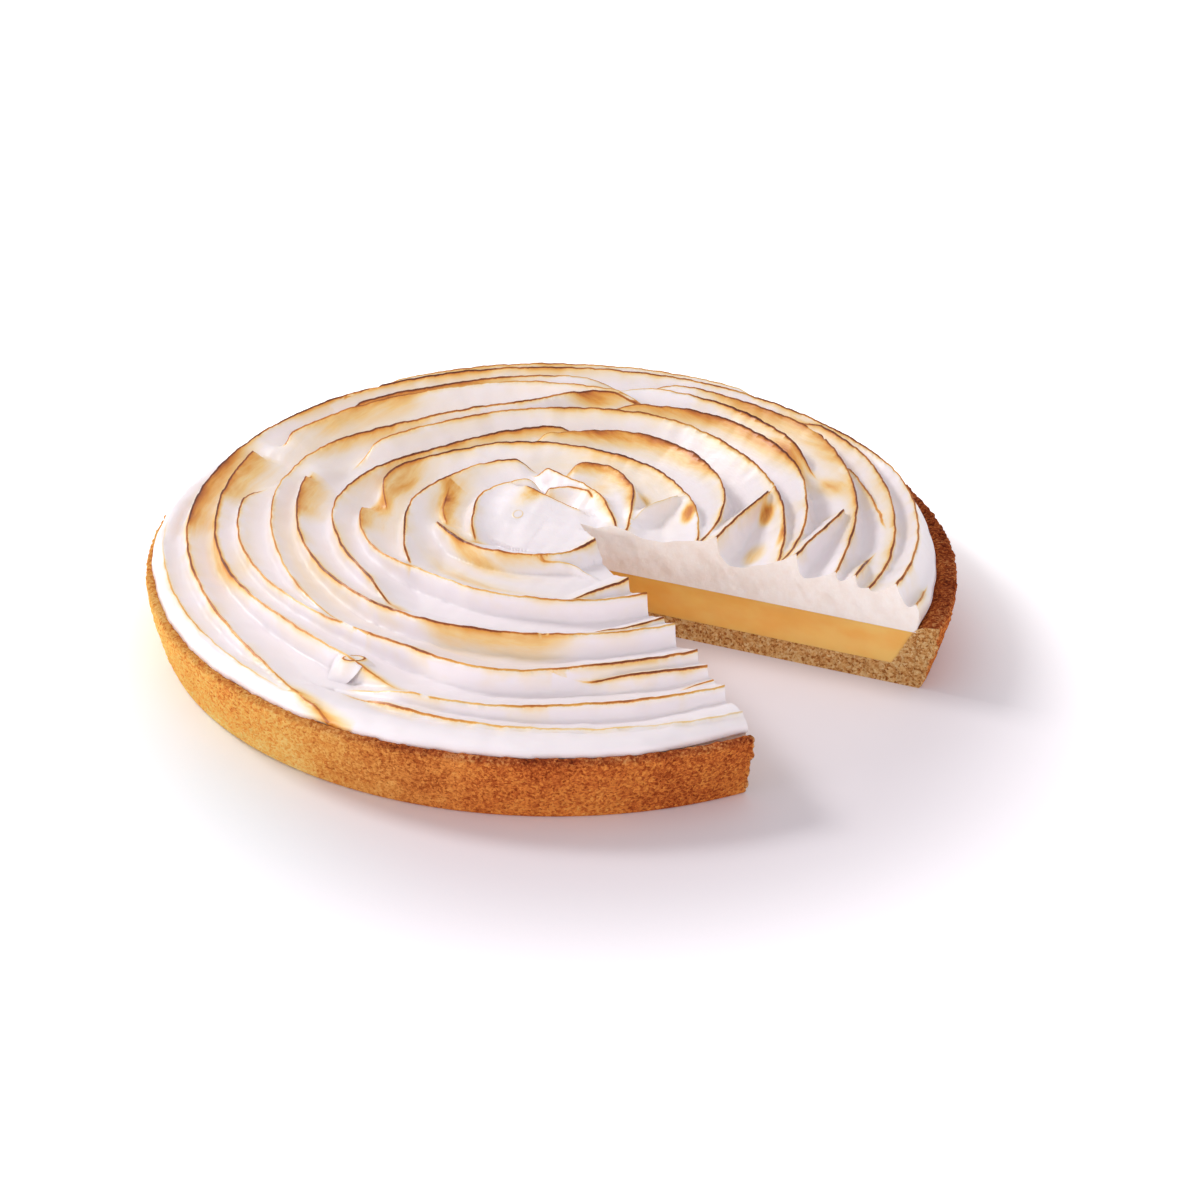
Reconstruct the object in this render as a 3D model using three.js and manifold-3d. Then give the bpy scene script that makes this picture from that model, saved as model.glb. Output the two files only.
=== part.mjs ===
// A lemon meringue pie with one slice cut out.
// A short pastry case holds a layer of lemon cream, and a swirled meringue covers it.
// Millimetres, +Z up, origin at the centre of the case's bottom.
// A turn is an angle in degrees, counted clockwise from +X when seen from above.
import Module from "manifold-3d";
import * as THREE from "three";
import { mergeVertices } from "three/addons/utils/BufferGeometryUtils.js";

// Pastry case
const RIM_RADIUS = 140;
const FOOT_RADIUS = 134.2;
const CASE_HEIGHT = 23.2;
const BASE_THICKNESS = 7.5;
const RIM_WAVE = 0.25;
const WALL_BULGE = 0.4;

// Lemon cream and the gap that touching layers keep
const LEMON_TOP = 20.7;
const GAP = 0.3;

// Missing slice: its tip, and the directions of its two cuts
const TIP = new THREE.Vector2(9.5, -3.86);
const FIRST_CUT_TURN = 64.7;
const LAST_CUT_TURN = 22.1;
const CUT_REACH = 200;
const CUT_DEPTH = 80;

// Meringue: its top is highest in the middle and at the back, and lower in front
const FRONT_TOP = 36.5;
const BACK_TOP = 43;
const PEAK_RISE = 7;
const PEAK_RADIUS = 14;
const FRONT_FALL = 10;
const BACK_FALL = 8;
const DOME_RADIUS = 137;
const BACK_STARTS_TURN = 140;
const BACK_FULL_TURN = 265;

// Ridges: depth of the troughs beside them, and how wide each side of a ridge is
const TROUGH_DEPTH = 6.5;
const BACK_EXTRA_DEPTH = 3.5;
const INNER_SIDE = 12;
const OUTER_SIDE = 6;
const BACK_EXTRA_SIDE = 3;
const TROUGH_ROUNDING = 3;
const RIDGE_FADE = 9;

// Meringue edge: its radius beside the first cut, and how far it grows or draws in over some turns.
// It swells out over the rim, and stands back from the rim beside the last cut.
const EDGE_RADIUS = 135;
const EDGE_CHANGES = [
  { from: 62, to: 80, by: 1.8 },
  { from: 160, to: 180, by: 2.4 },
  { from: 335, to: 352, by: -6.2 },
];
const EDGE_LOW = 24.6;
const SHOULDER_HEIGHT = 17;
const SHOULDER_WIDTH = 15;
const EDGE_UNDERCUT = 0.9;
const PLUG_RADIUS = 134.2;

// Facets, and where the turns of the top start and how far a ridge runs on through a cut
const MERINGUE_COLUMNS = 75;
const MERINGUE_RINGS = 56;
const CASE_COLUMNS = 100;
const LEMON_COLUMNS = 75;
const FIRST_TURN = 28;
const RIDGE_OVERRUN = 8;

// Ridges of the swirled meringue, from the rim to the middle. Each one runs from one turn to
// another, and its radii are evenly spaced between the two. size scales a small ridge, endLift
// raises or lowers its last stretch, and open tells which ends run out through a cut.
const RIDGES = [
  { from: 58, to: 127, radii: [131, 129, 127, 122.5], open: "start" },
  { from: 58, to: 127, radii: [118.5, 117.5, 117.5, 119, 119, 121], open: "start" },
  { from: 58, to: 73, radii: [112, 112, 117.5], size: 0.6, open: "start" },
  { from: 108, to: 209, radii: [119, 111, 109, 112.5, 116, 119, 122] },
  { from: 116, to: 344, radii: [139, 126.5, 124, 127, 129.5, 130, 130, 129.5, 125.5, 123.5, 125.5] },
  { from: 217, to: 270, radii: [120.5, 120, 115.5, 113, 109] },
  { from: 219, to: 279, radii: [117.5, 113, 107.5, 102.5, 97] },
  { from: 127, to: 279, radii: [98, 96.5, 95.5, 97, 99.5, 98, 90, 83, 84, 97] },
  { from: 207, to: 384, radii: [89, 79.5, 79, 82, 79.5, 79.5, 84.5], endLift: -5, open: "end" },
  { from: 290, to: 384, radii: [83, 94, 95, 92.5, 88.5, 87.5, 86.5, 85], endLift: -5, open: "end" },
  { from: 360, to: 384, radii: [99.5, 94, 89], open: "end" },
  { from: 286, to: 337, radii: [104, 104, 102] },
  { from: 292, to: 384, radii: [115.5, 116, 117.5, 113.5, 107.5, 105.5, 103.5, 104], endLift: -3, open: "end" },
  { from: 333, to: 364, radii: [113.5, 114, 119.5], size: 0.7 },
  { from: 321, to: 384, radii: [123, 121.5, 119, 118.5, 118.5, 116.5], endLift: -5, open: "end" },
  { from: 364, to: 384, radii: [116.5, 111.5, 110.5], size: 0.8, open: "end" },
  { from: 348, to: 384, radii: [126.5, 124, 124], open: "end" },
  { from: 369, to: 384, radii: [130.5, 131.5], size: 0.6, open: "end" },
  { from: 57, to: 202, radii: [82.5, 79.5, 82, 86, 93], open: "start" },
  { from: 57, to: 92, radii: [74.5, 79.5], size: 0.6, open: "start" },
  { from: 58, to: 193, radii: [99, 97.5, 101, 97, 99, 102.5, 109, 112], open: "start" },
  { from: 58, to: 89, radii: [108, 100.5], size: 0.6, open: "start" },
  { from: 127, to: 287, radii: [80, 73.5, 74.5, 76.5, 71.5, 63, 61, 62.5, 63] },
  { from: 270, to: 384, radii: [52.5, 65, 64, 59.5, 55.5], endLift: -3.5, open: "end" },
  { from: 350, to: 384, radii: [78.5, 66, 60.5], open: "end" },
  { from: 54, to: 198, radii: [61.5, 59.5, 57, 56.5, 57, 63.5, 66.5, 66], open: "start" },
  { from: 186, to: 384, radii: [59.5, 65, 57, 52, 48, 46, 46, 46.5, 50, 55], endLift: -3.5, open: "end" },
  { from: 52, to: 91, radii: [47, 51, 56.5], size: 0.8, open: "start" },
  { from: 143, to: 264, radii: [58.5, 52, 50, 44.5, 40.5, 33.5] },
  { from: 250, to: 384, radii: [34.5, 23.5, 20, 19, 19, 24], endLift: -4, open: "end" },
  { from: 176, to: 214, radii: [37.5, 43.5], size: 0.6 },
  { from: 270, to: 384, radii: [30.5, 36, 32, 27.5, 27.5], endLift: -5, open: "end" },
  { from: 44, to: 188, radii: [21, 25.5, 29, 35, 43.5], open: "start" },
  { from: 62, to: 104, radii: [42, 30, 28.5, 28], size: 0.6 },
  { from: 152, to: 263, radii: [30.5, 27.5, 28, 23.5, 18] },
  { from: 250, to: 330, radii: [16.5, 18, 17], size: 0.8 },
];

const radians = THREE.MathUtils.degToRad;
const smoothBetween = (low, high, x) => THREE.MathUtils.smoothstep(x, low, high);

// The wasm library that makes the cuts
const wasm = await Module();
wasm.setup();

function directionOf(turn) {
  return new THREE.Vector2(Math.cos(radians(turn)), -Math.sin(radians(turn)));
}

// Turns of the top run from one side of the missing slice round to the other.
function wrappedTurn(turn) {
  return THREE.MathUtils.euclideanModulo(turn - FIRST_TURN, 360) + FIRST_TURN;
}

// 0 in front, 1 at the back and on the right. It fades out at the middle.
function backShare(radius, turn) {
  return smoothBetween(BACK_STARTS_TURN, BACK_FULL_TURN, turn) * smoothBetween(4, 24, radius);
}

function domeHeight(radius, turn) {
  const peak = PEAK_RISE * Math.exp(-((radius / PEAK_RADIUS) ** 2));
  const front = FRONT_TOP + peak - FRONT_FALL * (radius / DOME_RADIUS) ** 4;
  const back = BACK_TOP - BACK_FALL * (radius / DOME_RADIUS) ** 6;
  return THREE.MathUtils.lerp(front, back, backShare(radius, turn));
}

function troughDepth(radius, turn) {
  return TROUGH_DEPTH + BACK_EXTRA_DEPTH * backShare(radius, turn) * smoothBetween(45, 65, radius);
}

function ridgeRange(ridge) {
  const early = ridge.open === "start" ? RIDGE_OVERRUN : 0;
  const late = ridge.open === "end" ? RIDGE_OVERRUN : 0;
  return [ridge.from - early, ridge.to + late];
}

// Radius of a ridge's crest at a turn, or null where the ridge doesn't reach: a Catmull-Rom
// curve through its evenly spaced radii, which runs straight on through a cut.
function crestRadius(ridge, turn) {
  const [first, final] = ridgeRange(ridge);
  if (turn < first || turn > final) return null;
  const last = ridge.radii.length - 1;
  const place = ((turn - ridge.from) / (ridge.to - ridge.from)) * last;
  const index = THREE.MathUtils.clamp(Math.floor(place), 0, last - 1);
  const at = (i) => {
    if (i < 0) return 2 * ridge.radii[0] - ridge.radii[1];
    if (i > last) return 2 * ridge.radii[last] - ridge.radii[last - 1];
    return ridge.radii[i];
  };
  const [before, start, end, after] = [at(index - 1), at(index), at(index + 1), at(index + 2)];
  const t = place - index;
  const slope = end - before + t * (2 * before - 5 * start + 4 * end - after);
  const bend = t * t * (3 * start - before - 3 * end + after);
  return start + 0.5 * t * (slope + bend);
}

// How much of a ridge stands at a turn: all of it, less over the last millimetres of an end.
function ridgeShare(ridge, turn, crest) {
  const fade = THREE.MathUtils.radToDeg(RIDGE_FADE / Math.max(crest, PEAK_RADIUS));
  const startShare = ridge.open === "start" ? 1 : smoothBetween(ridge.from, ridge.from + fade, turn);
  const endShare = ridge.open === "end" ? 1 : 1 - smoothBetween(ridge.to - fade, ridge.to, turn);
  return startShare * endShare;
}

// Height of one ridge: a sharp crest with a hollow slope down each side.
function ridgeHeight(ridge, radius, turn) {
  const crest = crestRadius(ridge, turn);
  if (crest === null) return -Infinity;
  const size = ridge.size ?? 1;
  const side = radius < crest ? INNER_SIDE : OUTER_SIDE + BACK_EXTRA_SIDE * backShare(crest, turn);
  const reach = Math.abs(radius - crest) / (side * size);
  if (reach >= 1) return -Infinity;
  const depth = troughDepth(crest, turn);
  const endLift = (ridge.endLift ?? 0) * smoothBetween(ridge.to - 32, ridge.to, turn);
  const rise = (depth * size + endLift) * ridgeShare(ridge, turn, crest);
  return domeHeight(radius, turn) - depth + rise * (1 - reach) ** 2;
}

// The swirled top: the highest of the ridges and the trough floor, with rounded troughs.
function swirlHeight(radius, turn) {
  let highest = domeHeight(radius, turn) - troughDepth(radius, turn);
  let second = -Infinity;
  for (const ridge of RIDGES) {
    const height = ridgeHeight(ridge, radius, turn);
    if (height > highest) {
      second = highest;
      highest = height;
    } else if (height > second) {
      second = height;
    }
  }
  const closeness = Math.max(0, 1 - (highest - second) / TROUGH_ROUNDING);
  return highest + 0.25 * TROUGH_ROUNDING * closeness ** 2;
}

function edgeRadius(turn) {
  return EDGE_CHANGES.reduce((sum, { from, to, by }) => sum + by * smoothBetween(from, to, turn), EDGE_RADIUS);
}

// Near the rim the top bends down in a round shoulder.
function meringueHeight(radius, turn) {
  const out = Math.max(0, 1 - (edgeRadius(turn) - radius) / SHOULDER_WIDTH);
  const shoulder = EDGE_LOW + SHOULDER_HEIGHT * Math.sqrt(Math.max(0, 1 - out ** 2));
  return Math.min(Math.max(swirlHeight(radius, turn), EDGE_LOW), shoulder);
}

// Even radii from the middle to the edge, with the nearest one moved onto each crest.
function ringRadii(turn, edge) {
  const step = edge / MERINGUE_RINGS;
  const radii = Array.from({ length: MERINGUE_RINGS + 1 }, (_, i) => i * step);
  for (const ridge of RIDGES) {
    const crest = crestRadius(ridge, turn);
    const nearest = crest === null ? 0 : Math.round(crest / step);
    if (nearest > 0 && nearest < MERINGUE_RINGS) radii[nearest] = crest;
  }
  return radii;
}

// Section of the meringue at a turn, from the middle of the top round to the middle below.
function meringueSection(turn) {
  const edge = edgeRadius(turn);
  const plug = Math.min(edge - 2 * EDGE_UNDERCUT, PLUG_RADIUS);
  const overRim = CASE_HEIGHT + RIM_WAVE + GAP;
  const bottom = LEMON_TOP + GAP;
  return [
    ...ringRadii(turn, edge).map((radius) => [radius, meringueHeight(radius, turn)]),
    [edge - EDGE_UNDERCUT, overRim],
    [plug, overRim],
    [plug, bottom],
    [0, bottom],
  ];
}

function lemonSection() {
  return [
    [0, LEMON_TOP],
    [134.8, LEMON_TOP],
    [132.6, 16.6],
    [128.6, 10.2],
    [125.1, BASE_THICKNESS + GAP],
    [0, BASE_THICKNESS + GAP],
  ];
}

// Low unevenness of the pastry, from a few waves that never line up.
function unevenness(turn) {
  const waves = [[7, 0.4], [13, 2.1], [23, 4.4]];
  return waves.reduce((sum, [count, start]) => sum + Math.sin(radians(turn * count) + start), 0) / waves.length;
}

function caseSection(turn) {
  const wave = RIM_WAVE * unevenness(turn);
  const bulge = WALL_BULGE * unevenness(2 * turn);
  return [
    [0, BASE_THICKNESS],
    [125.5, BASE_THICKNESS],
    [129, 9.9],
    [133, 16.3],
    [135.3, 21],
    [136.4, 22.9],
    [137.6, CASE_HEIGHT + Math.min(0, wave)],
    [139.2, CASE_HEIGHT + wave],
    [RIM_RADIUS - 0.1, CASE_HEIGHT - 1.1 + wave],
    [139 + bulge, 16],
    [137.2 + bulge, 9],
    [135.4 + bulge, 2.4],
    [FOOT_RADIUS, 0],
    [0, 0],
  ];
}

// Splits a square of the surface along the diagonal that keeps the ridges whole.
function squareFaces([a, b, c, d], heightOf) {
  if (heightOf(a) + heightOf(c) >= heightOf(b) + heightOf(d)) return [[a, b, c], [a, c, d]];
  return [[a, b, d], [b, c, d]];
}

// Round solid from a section at each turn. Every section starts and ends on the pie's axis, and
// its first and last points are shared by all columns.
function roundSolid(sectionAt, columns) {
  const startTurn = LAST_CUT_TURN + 2;
  const turnOf = (column) => startTurn + (360 * column) / columns;
  const sections = Array.from({ length: columns }, (_, column) => sectionAt(wrappedTurn(turnOf(column))));
  const last = sections[0].length - 1;
  const positions = [0, 0, sections[0][0][1], 0, 0, sections[0][last][1]];
  sections.forEach((section, column) => {
    const direction = directionOf(turnOf(column));
    section.slice(1, last).forEach(([radius, height]) => {
      positions.push(radius * direction.x, radius * direction.y, height);
    });
  });
  const indexOf = (column, i) => 2 + (column % columns) * (last - 1) + i - 1;
  const heightOf = (index) => positions[3 * index + 2];
  const faces = [];
  for (let column = 0; column < columns; column += 1) {
    faces.push([0, indexOf(column + 1, 1), indexOf(column, 1)]);
    for (let i = 1; i < last - 1; i += 1) {
      const near = [indexOf(column + 1, i), indexOf(column + 1, i + 1)];
      const far = [indexOf(column, i + 1), indexOf(column, i)];
      faces.push(...squareFaces([...near, ...far], heightOf));
    }
    faces.push([1, indexOf(column, last - 1), indexOf(column + 1, last - 1)]);
  }
  const geometry = new THREE.BufferGeometry();
  geometry.setAttribute("position", new THREE.Float32BufferAttribute(positions, 3));
  geometry.setIndex(faces.flat());
  return geometry;
}

function toManifold(geometry) {
  const bare = geometry.clone();
  bare.deleteAttribute("normal");
  bare.deleteAttribute("uv");
  const merged = mergeVertices(bare, 1e-4);
  const vertProperties = new Float32Array(merged.attributes.position.array);
  const triVerts = new Uint32Array(merged.index.array);
  return new wasm.Manifold(new wasm.Mesh({ numProp: 3, vertProperties, triVerts }));
}

function fromManifold(solid) {
  const mesh = solid.getMesh();
  const geometry = new THREE.BufferGeometry();
  geometry.setAttribute("position", new THREE.Float32BufferAttribute(mesh.vertProperties, 3));
  geometry.setIndex(Array.from(mesh.triVerts));
  geometry.computeVertexNormals();
  return geometry;
}

// Upright wedge that stands where the missing slice was.
function missingSlice() {
  const corners = [FIRST_CUT_TURN, LAST_CUT_TURN].map((turn) =>
    TIP.clone().addScaledVector(directionOf(turn), CUT_REACH),
  );
  const outline = new THREE.Shape([TIP, ...corners]);
  const wedge = new THREE.ExtrudeGeometry(outline, { depth: CUT_DEPTH, bevelEnabled: false });
  return wedge.translate(0, 0, -CUT_DEPTH / 4);
}

function namedPiece(name, geometry, color, roughness) {
  const cut = fromManifold(toManifold(geometry).subtract(toManifold(missingSlice())));
  const piece = new THREE.Mesh(cut, new THREE.MeshStandardMaterial({ color, roughness, metalness: 0 }));
  piece.name = name;
  return piece;
}

const pie = new THREE.Group();
pie.add(namedPiece("crust", roundSolid(caseSection, CASE_COLUMNS), 0xb9763a, 0.9));
pie.add(namedPiece("lemon_filling", roundSolid(lemonSection, LEMON_COLUMNS), 0xe9b84a, 0.4));
pie.add(namedPiece("meringue", roundSolid(meringueSection, MERINGUE_COLUMNS), 0xf6eff0, 0.55));

export default pie;
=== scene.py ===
"""Looks of a lemon meringue pie with one slice cut out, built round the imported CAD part.

Lengths are in millimetres and become metres when a mesh is made. The origin is the centre of
the case's bottom. A turn is an angle in degrees, counted clockwise from +X seen from above.
"""

import math
from collections import namedtuple

import bpy
import numpy as np
from mathutils import Matrix, Vector


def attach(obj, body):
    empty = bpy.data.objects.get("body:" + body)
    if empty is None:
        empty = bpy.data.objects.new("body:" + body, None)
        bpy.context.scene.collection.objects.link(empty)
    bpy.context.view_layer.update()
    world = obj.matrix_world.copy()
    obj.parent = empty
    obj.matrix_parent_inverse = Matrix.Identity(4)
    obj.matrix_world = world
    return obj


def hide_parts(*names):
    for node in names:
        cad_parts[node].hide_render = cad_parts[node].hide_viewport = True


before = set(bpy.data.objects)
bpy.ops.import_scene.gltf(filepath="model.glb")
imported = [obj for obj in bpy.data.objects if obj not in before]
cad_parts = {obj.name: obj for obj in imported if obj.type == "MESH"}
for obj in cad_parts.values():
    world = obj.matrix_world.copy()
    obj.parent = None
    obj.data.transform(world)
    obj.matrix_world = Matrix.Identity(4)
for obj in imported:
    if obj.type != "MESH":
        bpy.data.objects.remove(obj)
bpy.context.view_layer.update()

MM = 0.001

# ---- sizes, most of them the CAD's

RIM_RADIUS = 140.0
FOOT_RADIUS = 134.2
CASE_HEIGHT = 23.2
BASE_THICKNESS = 7.5
RIM_WAVE = 0.25
WALL_BULGE = 0.4
LEMON_TOP = 20.7

# Height between two layers that touch, so that their faces never share one plane.
LAYER_STEP = 0.03

# Where the two cuts meet, and their turns seen from there.
TIP = np.array([9.5, -3.86])
FIRST_CUT_TURN = 64.7
LAST_CUT_TURN = 382.1

# The dome of the meringue: lower in front, higher at the back, with a peak at the middle.
FRONT_TOP = 36.5
BACK_TOP = 42.1
PEAK_RISE = 7.0
PEAK_RADIUS = 14.0
FRONT_FALL = 10.0
BACK_FALL = 8.0
DOME_RADIUS = 137.0
BACK_STARTS_TURN = 140.0
BACK_FULL_TURN = 265.0

# The troughs below the dome, and the width and the hollowness of a ridge's two sides.
TROUGH_DEPTH = 6.5
BACK_EXTRA_DEPTH = 3.5
FRONT_EXTRA_DEPTH = 1.5
INNER_SIDE = 12.0
OUTER_SIDE = 6.0
BACK_EXTRA_SIDE = 3.0
FRONT_LESS_SIDE = 1.6
TROUGH_ROUNDING = 3.0
RIDGE_OVERRUN = 8.0
INNER_HOLLOW = 1.5
OUTER_HOLLOW = 1.8
FRONT_HOLLOW = 1.1

# The edge of the meringue. Each change is two turns and the growth of the radius between them.
EDGE_RADIUS = 135.0
EDGE_CHANGES = [(62, 80, 2.0), (160, 180, 1.4), (325, 348, -5.6)]
EDGE_LOW = 24.6
SHOULDER_HEIGHT = 17.7
SHOULDER_WIDTH = 15.0
EDGE_UNDERCUT = 0.9
LIP_LOW = 22.9
LIP_HEIGHT = 4.6
LIP_WIDTH = 7.5
LEFT_LIP_WIDTH = 4.4
PLUG_RADIUS = 134.2

# Ridges of the swirled meringue. About half are just the CAD's, the others run a little
# differently or further here, and BK, LE and U2 are added. The radii are evenly spaced between
# the two turns, open_side tells which end runs out through a cut, size scales a small ridge, and
# end_lift raises or lowers its last stretch.
Ridge = namedtuple("Ridge", "start stop radii open_side size end_lift", defaults=("", 1.0, 0.0))
RIDGES = {
    "A": Ridge(58, 127, [131, 129, 127, 122.5], "start"),
    "B": Ridge(58, 127, [118.5, 117.5, 117.5, 119, 119, 121], "start"),
    "B1": Ridge(58, 73, [112, 112, 117.5], "start", size=0.75),
    "C": Ridge(108, 209, [119, 111, 109, 112.5, 116, 119, 122]),
    "OL": Ridge(
        116,
        384,
        [139, 126.6, 124, 126.9, 129, 129.5, 126, 124, 124.5, 124.2, 127.8, 126, 124],
        "end",
    ),
    "BK": Ridge(228, 316, [127, 130.5, 131, 129.5, 126.5]),
    "D": Ridge(217, 290, [120.5, 116.5, 112, 112.3, 111.5, 113.5]),
    "E": Ridge(211, 297, [118.5, 113.5, 108.5, 105.8, 100.5, 97]),
    "R": Ridge(127, 296, [98, 96.5, 95.5, 97, 99.5, 98, 88.8, 85.3, 86.2, 97.5, 96]),
    "G": Ridge(207, 384, [89, 79.5, 79, 82, 79.5, 79.5, 84.5], "end", end_lift=-5),
    "H": Ridge(273, 384, [84.5, 88.5, 94.6, 95.4, 93, 89, 87.3, 85], "end", end_lift=-5),
    "H2": Ridge(356, 384, [103, 95.5, 90.5, 88.5], "end"),
    "I": Ridge(274, 342, [103.5, 106.5, 106.5, 102.8, 104.5]),
    "J": Ridge(278, 384, [118, 115.5, 115.3, 116, 110.5, 106.3, 103.8, 104], "end", end_lift=-3),
    "K": Ridge(322, 366, [116, 114.6, 114.6, 117], size=0.7),
    "L": Ridge(308, 384, [119.5, 122.3, 122, 119.8, 118.5, 118.3, 116.5], "end", end_lift=-5),
    "K2": Ridge(364, 384, [116.5, 111.5, 110.5], "end", size=0.8),
    "N": Ridge(369, 384, [130.5, 131.5], "end", size=0.6),
    "O": Ridge(57, 202, [82.5, 79.5, 82, 86, 93], "start"),
    "P": Ridge(57, 92, [74.5, 79.5], "start", size=0.72),
    "Q": Ridge(58, 203, [99, 97.6, 101, 97, 99.5, 104.8, 109.3, 110], "start"),
    "Q2": Ridge(58, 89, [107, 100], "start", size=0.9),
    "S": Ridge(127, 287, [80, 73.5, 74.5, 76.5, 71.5, 63, 61, 62.5, 63]),
    "T": Ridge(252, 384, [54.5, 58.6, 64.8, 65, 62.2, 58.6, 55.5], "end", end_lift=-3.5),
    "U": Ridge(347, 384, [79, 67.5, 62, 60], "end"),
    "U2": Ridge(346, 376, [49.5, 37, 30, 28], size=1.1),
    "V": Ridge(54, 198, [61.5, 59.5, 57, 56.5, 57, 63.5, 66.5, 66], "start"),
    "V2": Ridge(186, 384, [59.5, 65, 57, 52, 48, 46, 46, 46.5, 50, 55], "end", end_lift=-3.5),
    "W": Ridge(52, 91, [47, 51, 56.5], "start", size=0.8),
    "X": Ridge(143, 264, [58.5, 52, 50, 44.5, 40.5, 33.5]),
    "X2": Ridge(250, 384, [34.5, 23.5, 20, 19, 19, 24], "end", end_lift=-4),
    "XI": Ridge(176, 214, [37.5, 43.5], size=0.6),
    "Y": Ridge(270, 384, [30.5, 36, 32, 27.5, 27.5], "end", end_lift=-5),
    "Z": Ridge(44, 188, [21, 25.5, 29, 35, 43.5], "start"),
    "Z2": Ridge(62, 104, [42, 30, 28.5, 28], size=0.6),
    "AA": Ridge(152, 263, [30.5, 27.5, 28, 23.5, 18]),
    "IN": Ridge(250, 330, [16.5, 18, 17], size=0.8),
    "LE": Ridge(122, 190, [133.4, 132.4, 132.4, 133.6, 136]),
}

# Middle of the swirl: a mound whose top is a line of points, given as x, y and height. It falls
# gently to the front and steeply to the back.
MOUND_LINE = [
    (-9.2, 14.4, 41.8),
    (-6.4, 12.4, 41.6),
    (-2.8, 9.8, 40.8),
    (2.4, 7.6, 39.4),
    (9.1, 3.4, 38.2),
]
MOUND_FLOOR = 31.5
MOUND_FRONT = 26.0
MOUND_BACK = 6.0
MOUND_HOLLOW = 0.85

# ---- how the torch browned it, and the shade painted in two pockets

# Darkness of the thin line along each crest, evenly spaced from its first turn to its last.
BURNS = {
    "A": [0.25, 0.2, 0.3, 0.7, 0.4],
    "B": [0.4, 0.8, 0.6, 0.35, 0.5],
    "B1": [0.9, 0.8],
    "C": [0.2, 0.45, 0.5, 0.6, 0.8, 0.9, 0.9, 0.7],
    "OL": [0.3, 0.6, 0.7, 0.9, 1, 1, 1, 0.8, 0.8, 0.8, 0.8, 0.7, 0.8],
    "BK": [0.2, 0.5, 0.6, 0.5, 0.3],
    "D": [0.9, 0.9, 0.9, 0.9, 0.6, 0.4],
    "E": [0.8, 0.5, 0.5, 0.5, 0.5, 0.4],
    "R": [0.3, 0.5, 0.6, 0.6, 0.6, 0.8, 1, 0.9, 0.7, 0.8],
    "G": [0.5, 0.6, 0.7, 0.7, 0.6, 0.7, 0.8, 0.7],
    "H": [0.4, 0.6, 0.9, 0.8, 0.9, 0.8],
    "H2": [1, 1],
    "I": [0.4, 0.6, 1, 1, 0.3],
    "J": [0.4, 0.7, 0.6, 0.6, 0.7, 0.9, 0.9],
    "K": [0.6, 0.6],
    "L": [0.8, 0.8, 0.6, 0.9],
    "K2": [1, 0.9],
    "N": [0.5, 0.5],
    "O": [0.5, 0.4, 0.7, 0.8, 0.8, 0.8, 0.6],
    "P": [0.9, 0.8, 0.5],
    "Q": [0.9, 0.8, 0.5, 0.8, 0.6, 0.4, 0.7, 0.9, 0.6],
    "Q2": [0.9, 0.8],
    "S": [0.7, 0.9, 0.8, 0.7, 0.8, 1, 1, 1, 1, 0.6],
    "T": [0.2, 0.3, 0.5, 0.7, 0.7, 0.8, 1],
    "U": [0.9, 0.9],
    "U2": [0.25, 0.1],
    "V": [0.7, 0.6, 0.5, 0.5, 0.4, 0.4, 0.6, 0.4, 0.3],
    "V2": [0.4, 0.8, 1, 1, 1, 1, 1, 0.8, 0.5, 0.9],
    "W": [0.9, 1, 0.6],
    "X": [0.8, 1, 1, 0.9, 0.9, 0.4, 1, 0.8],
    "X2": [0.6, 0.8, 0.7, 0.6, 0.5, 0.6, 1],
    "XI": [0.6, 0.3],
    "Y": [0.2, 0.5, 0.6, 0.7, 0.7, 0.8],
    "Z": [0.8, 1, 0.5, 0.4, 0.5, 0.8, 0.9, 0.9, 0.4],
    "Z2": [0.5, 0.3, 0.5],
    "AA": [0.5, 0.8, 0.9, 0.5, 0.3],
    "IN": [0.8, 0.8, 0.6],
    "LE": [0.0, 0.3, 0.4, 0.3, 0.0],
}

MOUND_BURN = 0.75

# Broad browning beside a crest: ridge, first and last turn, reach inside and outside, strength.
Toast = namedtuple("Toast", "ridge start stop inside outside strength")
TOASTS = [
    ("OL", 112, 130, 5, 3, 0.5),
    ("OL", 172, 216, 9, 3, 0.6),
    ("OL", 205, 300, 4, 2, 0.3),
    ("C", 154, 196, 1.5, 6, 0.55),
    ("C", 186, 212, 11, 2, 0.5),
    ("C", 110, 126, 3, 3, 0.35),
    ("D", 215, 272, 5, 4, 0.5),
    ("E", 213, 246, 7, 2, 0.4),
    ("R", 200, 245, 5, 2, 0.35),
    ("R", 270, 288, 5, 3, 0.4),
    ("H", 278, 345, 6, 1.5, 0.62),
    ("G", 225, 384, 3, 1, 0.2),
    ("I", 300, 338, 4, 1, 0.45),
    ("BK", 244, 284, 2, 1, 0.4),
    ("J", 294, 345, 7, 3, 0.55),
    ("J", 335, 372, 4, 1, 0.3),
    ("L", 306, 340, 4, 3, 0.4),
    ("L", 330, 384, 4, 1, 0.25),
    ("O", 80, 124, 1.2, 10, 0.4),
    ("O", 178, 205, 11, 2, 0.5),
    ("S", 120, 136, 5, 4, 0.45),
    ("S", 215, 287, 4, 1.5, 0.45),
    ("T", 254, 348, 6, 1.5, 0.66),
    ("V", 168, 202, 9, 2, 0.45),
    ("V2", 196, 226, 2, 6, 0.35),
    ("V2", 220, 360, 3, 1, 0.35),
    ("X", 134, 150, 5, 3, 0.45),
    ("X2", 300, 384, 4, 1, 0.3),
    ("Y", 260, 368, 5, 1.5, 0.68),
    ("Z", 84, 135, 5, 4, 0.4),
    ("XI", 166, 240, 6, 3, 0.45),
    ("AA", 132, 162, 6, 3, 0.5),
]
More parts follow.
